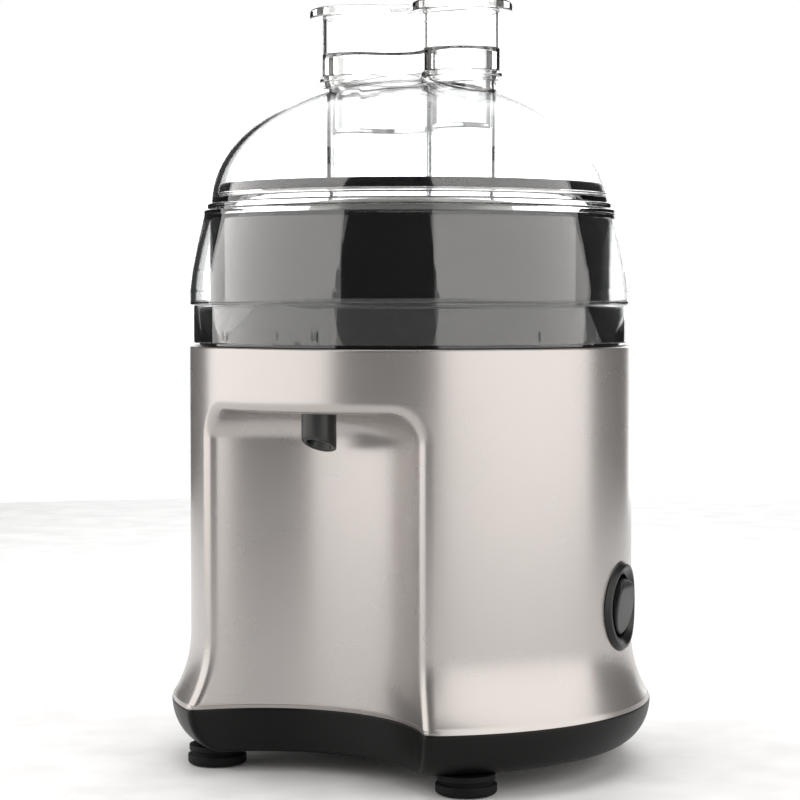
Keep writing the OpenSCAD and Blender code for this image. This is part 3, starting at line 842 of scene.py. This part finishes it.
def lid():
    """The clear lid: skirt, stepped shoulder and dome, with the feed chute through it and lock slots."""
    outer = [(SKIRT_R + 0.4, LID_LOW, 0.3), (SKIRT_R + 2.2, LID_LOW, 0.5), (SKIRT_R + 2.2, STEP_Z, 0.5),
             (HOUSING_R, STEP_Z, 0.5), (HOUSING_R, 186, 0.5), (87, 194, 3), (85, 204, 3), (82.4, 215, 0.6),
             (82.4, 217, 0.4), (81, 217.6, 0.3), (81, 219.6, 0.5)]
    inner = [(76.9, 223, 0.2), (75.2, 223, 0.3), (75.2, 222.2, 0.3), (77.1, 221.8, 0.5), (79, 216.4, 0.8),
             (80.6, 213, 1.5), (83, 203, 3), (85, 193, 3), (85.8, 185, 1), (85.8, STEP_Z + 1.2, 0.4),
             (SKIRT_R + 0.4, STEP_Z + 1.2, 0.3)]
    arch = [(r, z, 0) for r, z in dome(0)] + [(r, z, 0) for r, z in dome(LID_WALL)[:1:-1]]
    obj = lathe("lid_shell", rounded(outer + arch + inner, 3), 192)
    combine(obj, "UNION", kidney_sweep("chute", rounded(
        [(0, CHUTE_LOW, 0), (0, CHUTE_TOP - 3.6, 0.3),
         (1.2, CHUTE_TOP - 3.6, 0.4), (1.2, CHUTE_TOP - 2, 0.2),
         (2.4, CHUTE_TOP - 2, 0.4), (2.4, CHUTE_TOP, 0.5), (0.2, CHUTE_TOP, 0)], 3)))
    flat = lathe("flat", [(0, CHUTE_TOP), (22, CHUTE_TOP), (22, CHUTE_TOP + 4), (0, CHUTE_TOP + 4)], 48)
    hole = kidney_sweep("hole", [(-CHUTE_WALL, CHUTE_LOW - 2), (-CHUTE_WALL, CHUTE_TOP + 3)])
    combine(obj, "DIFFERENCE", flat, hole)
    for i in range(4):
        for name, size, turn, z in (("entry", (12, LUG_WIDTH + 1.6, 10.4), 90 * i, 165.2),
                                    ("lock_slot", (12, 48.4, 3.7), 90 * i - 10, 168.55)):
            groove = box_tool(name, size, turned(turn, 86, 0, z))
            reach = lathe("reach", [(0, 150), (SKIRT_R + 1.5, 150), (SKIRT_R + 1.5, 190), (0, 190)], 192)
            combine(groove, "INTERSECT", reach)
            combine(obj, "DIFFERENCE", groove)
    return finish_piece(obj, "lid", "clear_plastic", CLEAR, "lid")


def lid_seal():
    """The dark seal ring inside the lid."""
    corners = [(73.6, 223.4, 0.3), (76.4, 223.4, 0.3), (75.9, 227, 0.4), (74.6, 227, 0.4),
               (74.6, 225.6, 0.2), (73.6, 225.6, 0.3)]
    obj = lathe("seal_ring", rounded(corners, 4), 160)
    return finish_piece(obj, "lid_ring", "seal_rubber", SEAL, "lid_seal")


def pusher():
    """The clear hollow pusher, open at the top, with a thick rounded flange."""
    body, skirt, flange, wall = -CHUTE_WALL - 0.5, 1.4, 6.4, 1.6
    corners = [(body - 1.5, PUSHER_LOW, 0), (body, PUSHER_LOW, 0.8), (body, CHUTE_TOP + 0.3, 0.4),
               (skirt, CHUTE_TOP + 0.3, 0.5), (skirt, PUSHER_TOP - 3.8, 0.5),
               (flange, PUSHER_TOP - 3.8, 0.6), (flange, PUSHER_TOP, 1.5),
               (skirt - wall, PUSHER_TOP, 0.8), (skirt - wall, PUSHER_TOP - 18, 0.6),
               (body - wall, PUSHER_TOP - 18.6, 0.6), (body - wall, PUSHER_LOW + 2, 0)]
    obj = kidney_sweep("pusher_cup", rounded(corners, 5))
    return finish_piece(obj, "pusher", "clear_plastic", PUSHER_CLEAR, "pusher")


# ---- Studio ----

FACING = 30.0
CAMERA_DISTANCE = 0.920
CAMERA_HEIGHT = 0.182
FOCAL_LENGTH = 103.5
TILT = 2.49
PAN = 0.274


def studio_direction(turn):
    """Level direction from the object, turned that many degrees to the right of the camera's side."""
    a = math.radians(FACING + turn)
    return Vector((math.sin(a), -math.cos(a), 0))


def camera():
    """A long lens at the object's front right, level with the bowl."""
    data = bpy.data.cameras.new("camera")
    data.lens = FOCAL_LENGTH
    data.sensor_width = 36
    obj = bpy.data.objects.new("camera", data)
    bpy.context.scene.collection.objects.link(obj)
    obj.location = studio_direction(0) * CAMERA_DISTANCE + Vector((0, 0, CAMERA_HEIGHT))
    tilt = math.radians(TILT)
    aim = studio_direction(180 + PAN) * math.cos(tilt) - Vector((0, 0, math.sin(tilt)))
    obj.rotation_mode = "QUATERNION"
    obj.rotation_quaternion = aim.to_track_quat("-Z", "Y")
    bpy.context.scene.camera = obj


def softbox(name, turn, height, distance, size, radiance, tint=(1, 1, 1)):
    """A rectangular light of that brightness, aimed at the middle of the object."""
    data = bpy.data.lights.new(name, "AREA")
    data.shape = "RECTANGLE"
    data.size, data.size_y = size
    data.energy = radiance * math.pi * size[0] * size[1]
    data.color = tint
    obj = bpy.data.objects.new(name, data)
    bpy.context.scene.collection.objects.link(obj)
    obj.location = studio_direction(turn) * distance + Vector((0, 0, height))
    obj.rotation_mode = "QUATERNION"
    obj.rotation_quaternion = (obj.location - Vector((0, 0, 0.15))).to_track_quat("Z", "Y")
    return obj


def stage():
    """A pale floor under a white surround."""
    floor = lathe("studio_floor", [(0, -0.4), (1200, -0.4), (1200, -12), (0, -12)], 128)
    floor.data.materials.append(moulded("floor_white", (0.86, 0.86, 0.86), 0.7, 300, 0.02))
    world = bpy.data.worlds.new("surround")
    bpy.context.scene.world = world
    world.use_nodes = True
    nodes, links = world.node_tree.nodes, world.node_tree.links
    background = nodes["Background"]
    path = nodes.new("ShaderNodeLightPath")
    bounces = nodes.new("ShaderNodeMath")
    links.new(path.outputs["Glossy Depth"], bounces.inputs[0])
    links.new(path.outputs["Diffuse Depth"], bounces.inputs[1])
    brightness = nodes.new("ShaderNodeMapRange")
    brightness.inputs["To Min"].default_value = 1.0
    brightness.inputs["To Max"].default_value = 0.05
    links.new(bounces.outputs["Value"], brightness.inputs["Value"])
    links.new(brightness.outputs["Result"], background.inputs["Strength"])
    background.inputs["Color"].default_value = (1, 1, 1, 1)


def lights():
    """Two large softboxes at the sides, one behind and one overhead."""
    softbox("left_box", -82, 0.25, 1.0, (1.9, 1.6), 2.1, (1, 0.975, 0.95))
    softbox("right_box", 57.5, 0.25, 1.0, (1.95, 1.6), 2.1, (1, 0.975, 0.95))
    softbox("top_box", 180, 1.3, 0.25, (1.6, 1.4), 2.4)
    softbox("back_box", 172, 0.3, 1.8, (1.5, 1.6), 2.2)


camera()
paint_cad_nodes()
housing()
base_tray()
feet()
cord_gland()
switch_bezel()
rocker()
juice_spout()
bowl()
filter_mesh()
basket_ring()
lid()
lid_seal()
pusher()
stage()
lights()
bpy.context.scene.view_settings.view_transform = "Standard"
